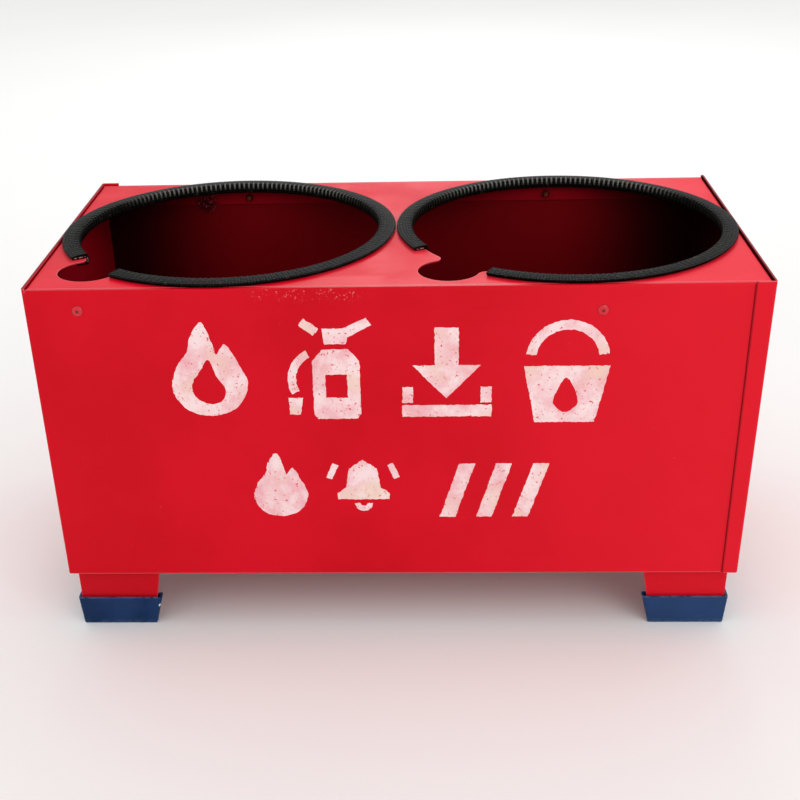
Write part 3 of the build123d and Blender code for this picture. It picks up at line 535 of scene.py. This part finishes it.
def trim_tree():
    """Sweeps the section round the hole and presses in the ribs."""
    tree = bpy.data.node_groups.new("edge_trim_sweep", "GeometryNodeTree")
    tree.interface.new_socket("Section", in_out="INPUT", socket_type="NodeSocketGeometry")
    for label in ("Nose Radius", "Start", "Sweep", "Rib Pitch", "Rib Depth"):
        tree.interface.new_socket(label, in_out="INPUT", socket_type="NodeSocketFloat")
    tree.interface.new_socket("Steps", in_out="INPUT", socket_type="NodeSocketInt")
    tree.interface.new_socket("Centre", in_out="INPUT", socket_type="NodeSocketVector")
    tree.interface.new_socket("Material", in_out="INPUT", socket_type="NodeSocketMaterial")
    tree.interface.new_socket("Trim", in_out="OUTPUT", socket_type="NodeSocketGeometry")
    given = add_node(tree, "NodeGroupInput").outputs
    arc = add_node(tree, "GeometryNodeCurveArc", {
        "Resolution": given["Steps"], "Radius": given["Nose Radius"], "Start Angle": given["Start"],
        "Sweep Angle": given["Sweep"]})
    held = add_node(tree, "GeometryNodeCaptureAttribute", {0: arc}, domain="POINT")
    held.capture_items.new("FLOAT", "along")
    tree.links.new(add_node(tree, "GeometryNodeSplineParameter").outputs["Length"], held.inputs[1])
    section = add_node(tree, "GeometryNodeMeshToCurve", {0: given["Section"]})
    swept = add_node(tree, "GeometryNodeCurveToMesh", {
        "Curve": held, "Profile Curve": section, "Fill Caps": True})
    stored = add_node(tree, "GeometryNodeStoreNamedAttribute", {
        0: swept, "Name": "along", "Value": held.outputs[1]}, data_type="FLOAT", domain="POINT")
    turns = add_node(tree, "ShaderNodeMath", {0: held.outputs[1], 1: given["Rib Pitch"]}, operation="DIVIDE")
    phase = add_node(tree, "ShaderNodeMath", {0: turns, 1: math.tau}, **TIMES)
    wave = add_node(tree, "ShaderNodeMath", {0: phase}, operation="COSINE")
    dent = add_node(tree, "ShaderNodeMath", {0: 1.0, 1: wave}, operation="SUBTRACT")
    strength = add_node(tree, "GeometryNodeInputNamedAttribute", {0: "ribbed"}, data_type="FLOAT")
    dent = add_node(tree, "ShaderNodeMath", {0: dent, 1: strength}, **TIMES)
    dent = add_node(tree, "ShaderNodeMath", {0: dent, 1: given["Rib Depth"]}, **TIMES)
    # The swept section's normals point into the trim
    inward = add_node(tree, "GeometryNodeInputNormal")
    pressed = add_node(tree, "ShaderNodeVectorMath", {0: inward, "Scale": dent}, operation="SCALE")
    shaped = add_node(tree, "GeometryNodeSetPosition", {0: stored, "Offset": pressed})
    moved = add_node(tree, "GeometryNodeTransform", {0: shaped, "Translation": given["Centre"]})
    smooth = add_node(tree, "GeometryNodeSetShadeSmooth", {0: moved})
    plain = add_node(tree, "GeometryNodeRealizeInstances", {0: smooth})
    painted = add_node(tree, "GeometryNodeSetMaterial", {0: plain, "Material": given["Material"]})
    add_node(tree, "NodeGroupOutput", {0: painted})
    return tree


def grained_pvc():
    """Soft PVC, extruded and embossed: black satin skin with rows of small leather scales, their crowns
    painted lighter as a painted sheen."""
    material, tree, place, axes = new_material("embossed_black_pvc")
    along = add_node(tree, "ShaderNodeAttribute", attribute_name="along").outputs["Fac"]
    across = add_node(tree, "ShaderNodeAttribute", attribute_name="across").outputs["Fac"]
    # Scales stand in rows and files, a little out of line
    stray = add_node(tree, "ShaderNodeTexNoise", {"Vector": place, "Scale": 1 / (2.2 * MM), "Detail": 2.0})
    stray = add_node(tree, "ShaderNodeMapRange", {0: stray, 3: -1.5, 4: 1.5})
    scales = 1.0
    for distance, spacing in ((along, GRAIN_ROW), (across, GRAIN_WIDTH)):
        turn = add_node(tree, "ShaderNodeMath", {0: distance, 1: math.pi / spacing, 2: stray},
                        operation="MULTIPLY_ADD")
        turn = add_node(tree, "ShaderNodeMath", {0: turn}, operation="COSINE")
        scales = add_node(tree, "ShaderNodeMath", {0: scales, 1: turn}, **TIMES)
    scales = add_node(tree, "ShaderNodeMath", {0: scales}, operation="ABSOLUTE")
    # Painted sheen: the scales' crowns are painted lighter than their hollows
    grain_sheen = add_node(tree, "ShaderNodeMapRange", {0: scales, 1: 0.25, 2: 0.85}, **SOFT_STEP)
    base = add_node(tree, "ShaderNodeMix", {0: grain_sheen, 6: colour("#020202"), 7: colour("#161613")}, **BLEND)
    # Grey bloom where the lips were handled
    bloom = add_node(tree, "ShaderNodeTexNoise", {"Vector": place, "Scale": 1 / (4 * MM), "Detail": 4.0})
    bloom = add_node(tree, "ShaderNodeMapRange", {0: bloom, 1: 0.58, 2: 0.75, 4: 0.16}, **SOFT_STEP)
    base = add_node(tree, "ShaderNodeMix", {0: bloom, 6: base, 7: colour("#6A6A60")}, **BLEND)
    # Painted highlight: the rib crests at the back of the holes are painted grey
    ribbed = add_node(tree, "ShaderNodeAttribute", attribute_name="ribbed").outputs["Fac"]
    nose = add_node(tree, "ShaderNodeMapRange", {0: ribbed, 1: 0.8, 2: 1.0}, **SOFT_STEP)
    crest = add_node(tree, "ShaderNodeMath", {0: along, 1: math.tau / RIB_PITCH}, **TIMES)
    crest = add_node(tree, "ShaderNodeMath", {0: crest}, operation="COSINE")
    crest = add_node(tree, "ShaderNodeMapRange", {0: crest, 1: 0.1, 2: 0.8}, **SOFT_STEP)
    at_back = add_node(tree, "ShaderNodeMapRange", {
        0: axes[1], 1: RIB_HIGHLIGHT_BACK[0], 2: RIB_HIGHLIGHT_BACK[1], 4: 0.6}, **SOFT_STEP)
    over_sheet = add_node(tree, "ShaderNodeMapRange", {
        0: axes[2], 1: PANEL_TOP - 1.0 * MM, 2: PANEL_TOP + 1.0 * MM})
    for mask in (crest, at_back, over_sheet):
        nose = add_node(tree, "ShaderNodeMath", {0: nose, 1: mask}, **TIMES)
    base = add_node(tree, "ShaderNodeMix", {0: nose, 6: base, 7: colour("#8E8C84")}, **BLEND)
    bump = add_node(tree, "ShaderNodeBump", {"Height": scales, "Strength": 1.0, "Distance": 0.3 * MM})
    rough = add_node(tree, "ShaderNodeMapRange", {0: scales, 3: 0.5, 4: 0.34})
    shader = add_node(tree, "ShaderNodeBsdfPrincipled", {
        "Base Color": base, "Roughness": rough, "Normal": bump, "IOR": 1.53, "Specular IOR Level": 0.04})
    add_node(tree, "ShaderNodeOutputMaterial", {"Surface": shader})
    return material


trim_pvc = grained_pvc()
sweep_tree = trim_tree()
mounts = {mount["name"]: mount for mount in frame["record"]["mounts"]}
for side, (start, end) in TRIM_CUTS.items():
    hole = mounts[f"{side}_bottle_hole"]
    outline = trim_outline(side)
    count = len(outline)
    across = [0.0]
    for (x0, y0, _), (x1, y1, _) in zip(outline, outline[1:]):
        across.append(across[-1] + math.hypot(x1 - x0, y1 - y0) * MM)
    radius = hole["dims"]["r_mm"] * MM
    sweep = math.radians(end + 360 - start)
    ribs = round(radius * sweep / RIB_PITCH)
    trim = applied(
        f"{side}_grained_trim", [(x * MM, -y * MM, 0) for x, y, _ in outline],
        [(i, (i + 1) % count) for i in range(count)], sweep_tree,
        {"Nose Radius": radius, "Start": math.radians(start), "Sweep": sweep,
         "Rib Pitch": radius * sweep / ribs, "Rib Depth": RIB_DEPTH, "Steps": ribs * STEPS_PER_RIB + 1,
         "Centre": hole["pos_m"], "Material": trim_pvc},
        {"ribbed": [rib for _, _, rib in outline], "across": across})
    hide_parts(f"{side}_edge_trim")
    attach(trim, "root")


def clipped_steel():
    """Mild steel strip, rolled bright: dark with oxide, with bright specks where it was cut."""
    material, tree, place, axes = new_material("rolled_bright_steel")
    freckles = add_node(tree, "ShaderNodeTexNoise", {"Vector": place, "Scale": 1 / (1.1 * MM), "Detail": 4.0})
    bright = add_node(tree, "ShaderNodeMapRange", {0: freckles, 1: 0.48, 2: 0.56}, **SOFT_STEP)
    base = add_node(tree, "ShaderNodeMix", {0: bright, 6: colour("#2E2A28"), 7: colour("#E4E6E7")}, **BLEND)
    lines = add_node(tree, "ShaderNodeMapping", {
        0: place, "Scale": (1 / (3 * MM), 1 / (3 * MM), 1 / (0.17 * MM))})
    rolled = add_node(tree, "ShaderNodeTexNoise", {"Vector": lines, "Scale": 1.0})
    bump = add_node(tree, "ShaderNodeBump", {"Height": rolled, "Strength": 0.3, "Distance": 0.03 * MM})
    rough = add_node(tree, "ShaderNodeMapRange", {0: freckles, 3: 0.22, 4: 0.5})
    shader = add_node(tree, "ShaderNodeBsdfPrincipled", {
        "Base Color": base, "Roughness": rough, "Normal": bump, "Metallic": 1.0})
    add_node(tree, "ShaderNodeOutputMaterial", {"Surface": shader})
    return material


core_steel = clipped_steel()
for side in TRIM_CUTS:
    finish_node(f"{side}_trim_core", core_steel)

# ---- Painted signs ------------------------------------------------------------------------------
# White signs stencilled on the front wall with a stiff brush: a film of about 0.1 mm with ragged
# edges, thin patches where the red shows through, and pinholes that the brush missed.

FILM = 0.12 * MM
RAGGED = 0.42                # mm, how far the film's edge strays
SLOW_STRAY = 0.55            # wobbles per mm along the edge
FINE_STRAY = 1.7             # and the finer ones on them, half as strong
EDGE_SEED = 5                # fixes the wobbles, which the clock would pick otherwise


def brushed_emulsion():
    """White emulsion, dabbed through a stencil: matt chalky film, pink where it is thin, with brush drag."""
    material, tree, place, axes = new_material("stencilled_white_emulsion")
    fade_mask = add_node(tree, "ShaderNodeTexNoise", {"Vector": place, "Scale": 1 / (13 * MM), "Detail": 6.0,
                                                 "Roughness": 0.6})
    faded = add_node(tree, "ShaderNodeMapRange", {0: fade_mask, 1: 0.35, 2: 0.7}, **SOFT_STEP)
    base = add_node(tree, "ShaderNodeMix", {0: faded, 6: colour("#FBE0E0"), 7: colour("#F0ACB3")}, **BLEND)
    cream = add_node(tree, "ShaderNodeTexNoise", {"Vector": place, "Scale": 1 / (26 * MM), "Detail": 3.0})
    cream = add_node(tree, "ShaderNodeMapRange", {0: cream, 1: 0.52, 2: 0.7, 4: 0.7}, **SOFT_STEP)
    base = add_node(tree, "ShaderNodeMix", {0: cream, 6: base, 7: colour("#F3D9C4")}, **BLEND)
    # Pinholes of 1 mm that the brush missed
    grit = add_node(tree, "ShaderNodeTexNoise", {"Vector": place, "Scale": 1 / (1.6 * MM), "Detail": 4.0})
    missed = add_node(tree, "ShaderNodeMapRange", {0: grit, 1: 0.64, 2: 0.69}, **SOFT_STEP)
    base = add_node(tree, "ShaderNodeMix", {0: missed, 6: base, 7: colour("#DE4653")}, **BLEND)
    # Bristle marks 0.7 mm apart
    drag = add_node(tree, "ShaderNodeMapping", {
        0: place, "Rotation": (0, 0.35, 0), "Scale": (1 / (0.7 * MM), 1 / (2.5 * MM), 1 / (4 * MM))})
    hairs = add_node(tree, "ShaderNodeTexNoise", {"Vector": drag, "Scale": 1.0, "Detail": 3.0})
    streaks = add_node(tree, "ShaderNodeMapRange", {0: hairs, 1: 0.6, 2: 0.72, 4: 0.45}, **SOFT_STEP)
    base = add_node(tree, "ShaderNodeMix", {0: streaks, 6: base, 7: colour("#E9878F")}, **BLEND)
    bump = add_node(tree, "ShaderNodeBump", {"Height": hairs, "Strength": 0.6, "Distance": 0.1 * MM})
    rough = add_node(tree, "ShaderNodeMapRange", {0: fade_mask, 3: 0.55, 4: 0.75})
    shader = add_node(tree, "ShaderNodeBsdfPrincipled", {
        "Base Color": base, "Roughness": rough, "Normal": bump, "Specular IOR Level": 0.3})
    add_node(tree, "ShaderNodeOutputMaterial", {"Surface": shader})
    return material


def straight_loop(points, spacing=1.1):
    """Evenly spaced points, in mm, of a closed outline with straight sides."""
    knots = [Vector(point) for point in points]
    dense = []
    for here, there in zip(knots, knots[1:] + knots[:1]):
        pieces = max(2, round((there - here).length / spacing))
        dense += [here.lerp(there, piece / pieces) for piece in range(pieces)]
    return dense


def curved_loop(points, spacing=1.1):
    """Evenly spaced points, in mm, of a closed outline that curves through its knots (Catmull-Rom)."""
    knots = [Vector(point) for point in points]
    count = len(knots)
    dense = []
    for i in range(count):
        before, here, there, after = (knots[(i + k) % count] for k in (-1, 0, 1, 2))
        pieces = max(2, round((there - here).length / spacing))
        for t in (piece / pieces for piece in range(pieces)):
            square = 2 * before - 5 * here + 4 * there - after
            cube = 3 * here - before - 3 * there + after
            dense.append(0.5 * (2 * here + (there - before) * t + square * t * t + cube * t ** 3))
    return dense


def bar(x0, z0, x1, z1, width):
    """Outline of a straight dab from one point to another."""
    start, end = Vector((x0, z0)), Vector((x1, z1))
    half = (end - start).normalized().orthogonal() * width / 2
    return straight_loop([start + half, end + half, end - half, start - half])


def ring_part(x, z, radius, width, start, end):
    """Outline of an arc-shaped dab, angles in degrees."""
    turns = [math.radians(start + (end - start) * k / 14) for k in range(15)]
    outer, inner = ([(x + reach * math.cos(a), z + reach * math.sin(a)) for a in turns]
                    for reach in (radius + width / 2, radius - width / 2))
    return straight_loop(outer + inner[::-1])


def painted_sign(name, outlines, holes, place, seed, material):
    """A film of paint on the front wall: the outlines are in mm, about the sign's lower left corner."""
    work = bmesh.new()
    shift = Vector(place)
    for number, loop in enumerate(outlines + holes):
        ring = []
        for point in loop:
            # The seed and the loop's number only pick a fresh part of the noise
            slow, quick = point * SLOW_STRAY, point * FINE_STRAY
            stray = noise.noise_vector((slow.x + seed * 7.3, slow.y, number * 3.1)) * RAGGED
            stray += noise.noise_vector((quick.x, quick.y + seed, number)) * RAGGED * 0.5
            at = point + shift + stray.xy
            ring.append(work.verts.new((at.x * MM, WALL_FACE, at.y * MM)))
        for first, second in zip(ring, ring[1:] + ring[:1]):
            work.edges.new((first, second))
    bmesh.ops.triangle_fill(work, use_beauty=True, use_dissolve=False, edges=work.edges)
    grown = bmesh.ops.extrude_face_region(work, geom=list(work.faces))
    for item in grown["geom"]:
        if isinstance(item, bmesh.types.BMVert):
            item.co.y -= FILM
    bmesh.ops.recalc_face_normals(work, faces=work.faces)
    mesh = bpy.data.meshes.new(name)
    work.to_mesh(mesh)
    work.free()
    mesh.materials.append(material)
    piece = bpy.data.objects.new(name, mesh)
    bpy.context.scene.collection.objects.link(piece)
    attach(piece, "root")


noise.seed_set(EDGE_SEED)
emulsion = brushed_emulsion()
flame = curved_loop([(22, 0), (8, 4), (1, 16), (4, 29), (11, 39), (13, 47), (20, 56), (25, 44), (27, 37),
                     (32, 43), (38, 33), (43, 19), (36, 5)])
tongue = curved_loop([(22, 7), (14, 11), (12, 19), (17, 27), (22, 34), (26, 24), (30, 17), (29, 10)])
painted_sign("sign_flame", [flame], [tongue], (-125, 144.5), 1, emulsion)
bottle = straight_loop([(9, 0), (31, 0), (33, 3), (33, 35), (27, 42), (13, 42), (7, 35), (7, 3)])
label = straight_loop([(14, 13), (26, 13), (26, 27), (14, 27)])
lever = straight_loop([(14, 45), (26, 45), (27, 49), (40, 56), (37, 60), (24, 54), (13, 54)])
nozzle = straight_loop([(-6.5, 3), (-0.5, 3), (1, 13), (-7, 13)])
hose = ring_part(13, 24, 17.5, 4.6, 118, 206)
handle = bar(2, 58, 10, 52, 5)
painted_sign("sign_extinguisher", [bottle, lever, handle, nozzle, hose], [label], (-53, 142), 2, emulsion)
arrow = straight_loop([(18, 59), (31, 59), (31, 37), (43, 37), (24.5, 17), (6, 37), (18, 37)])
tray = [bar(0, 9.5, 49.5, 9.5, 7), bar(3.2, 14.5, 3.2, 24, 6), bar(46.3, 14.5, 46.3, 24, 6)]
painted_sign("sign_arrow", [arrow] + tray, [], (3, 137), 3, emulsion)
pail = straight_loop([(9, 0), (42, 0), (49, 34), (2, 34)])
drop = curved_loop([(25.5, 6), (19, 11), (20, 18), (25.5, 27), (31, 18), (32, 11)])
painted_sign("sign_bucket", [pail, ring_part(25.5, 38, 20, 5.5, 8, 172)], [drop], (67.5, 139), 4, emulsion)
small_flame = [point * 0.74 for point in flame]
painted_sign("sign_small_flame", [small_flame], [], (-84, 79), 5, emulsion)
bell = straight_loop([(6, 10), (36, 10), (36, 14), (31, 18), (29, 30), (21, 36), (13, 30), (11, 18), (6, 14)])
rings_out = [ring_part(21, 7.5, 3.6, 3.4, 180, 360), bar(1.5, 24, 5.5, 33, 3.6), bar(40.5, 24, 36.5, 33, 3.6)]
painted_sign("sign_bell", [bell] + rings_out, [], (-41, 80), 6, emulsion)
stripes = [straight_loop([(x, 0), (x + 9, 0), (x + 20, 35), (x + 11, 35)]) for x in (0, 21, 42)]
painted_sign("sign_stripes", stripes, [], (24, 78), 7, emulsion)

# ---- Studio -------------------------------------------------------------------------------------
# A plain pale floor under plain soft light: one softbox behind the box that skims its top, one from
# the right in front, and an even white surround.

FLOOR_REACH = 9.0
SURROUND = 0.92
SOFTBOXES = {  # where each stands, what it faces, its width in metres and its watts
    "back_softbox": ((0.1, 1.75, 1.15), (0, 0, 0.2), 0.7, 5),
    "front_softbox": ((1.1, -1.5, 1.3), (0, 0, 0.12), 1.2, 6)}


def matt_sweep():
    """Painted board: matt, nearly white, with faint clouds."""
    material, tree, place, axes = new_material("matt_white_sweep")
    clouds = add_node(tree, "ShaderNodeTexNoise", {"Vector": place, "Scale": 1 / (300 * MM), "Detail": 2.0})
    base = add_node(tree, "ShaderNodeMix", {0: clouds, 6: colour("#F5F5F4"), 7: colour("#FAFAF9")}, **BLEND)
    shader = add_node(tree, "ShaderNodeBsdfPrincipled", {
        "Base Color": base, "Roughness": 0.9, "Specular IOR Level": 0.1})
    add_node(tree, "ShaderNodeOutputMaterial", {"Surface": shader})
    return material


floor_mesh = bpy.data.meshes.new("studio_floor")
floor_corners = [(x * FLOOR_REACH, y * FLOOR_REACH, 0) for x, y in ((-1, -1), (1, -1), (1, 1), (-1, 1))]
floor_mesh.from_pydata(floor_corners, [], [(0, 1, 2, 3)])
floor_mesh.materials.append(matt_sweep())
floor = bpy.data.objects.new("studio_floor", floor_mesh)
bpy.context.scene.collection.objects.link(floor)
floor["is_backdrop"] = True

world = bpy.data.worlds.new("studio_surround")
world.use_nodes = True
world.node_tree.nodes["Background"].inputs["Color"].default_value = (1.0, 1.0, 1.0, 1.0)
world.node_tree.nodes["Background"].inputs["Strength"].default_value = SURROUND
bpy.context.scene.world = world

for name, (spot, target, size, watts) in SOFTBOXES.items():
    light = bpy.data.lights.new(name, "AREA")
    light.shape = "SQUARE"
    light.size = size
    light.energy = watts
    lamp = bpy.data.objects.new(name, light)
    bpy.context.scene.collection.objects.link(lamp)
    away = Vector(spot) - Vector(target)
    lamp.matrix_world = Matrix.Translation(spot) @ away.to_track_quat("Z", "Y").to_matrix().to_4x4()

# The camera stands a little right of the middle, in front and above, and looks down at the front
# wall, held slightly out of level.
LENS = 56.74                             # mm
STAND = (0.0155, -0.732, 0.4546)
LOOKS_AT = (-0.0136, -0.0803, 0.0845)
LEAN = -1.56                             # degrees
SHIFT_RIGHT = 0.0298
SHIFT_UP = 0.1131
camera_data = bpy.data.cameras.new("studio_camera")
camera_data.lens = LENS
camera_data.shift_x = SHIFT_RIGHT
camera_data.shift_y = SHIFT_UP
camera = bpy.data.objects.new("studio_camera", camera_data)
bpy.context.scene.collection.objects.link(camera)
sight = (Vector(LOOKS_AT) - Vector(STAND)).to_track_quat("-Z", "Y").to_matrix().to_4x4()
camera.matrix_world = Matrix.Translation(STAND) @ sight @ Matrix.Rotation(math.radians(LEAN), 4, "Z")
bpy.context.scene.camera = camera
bpy.context.scene.view_settings.view_transform = "Standard"

low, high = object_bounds()
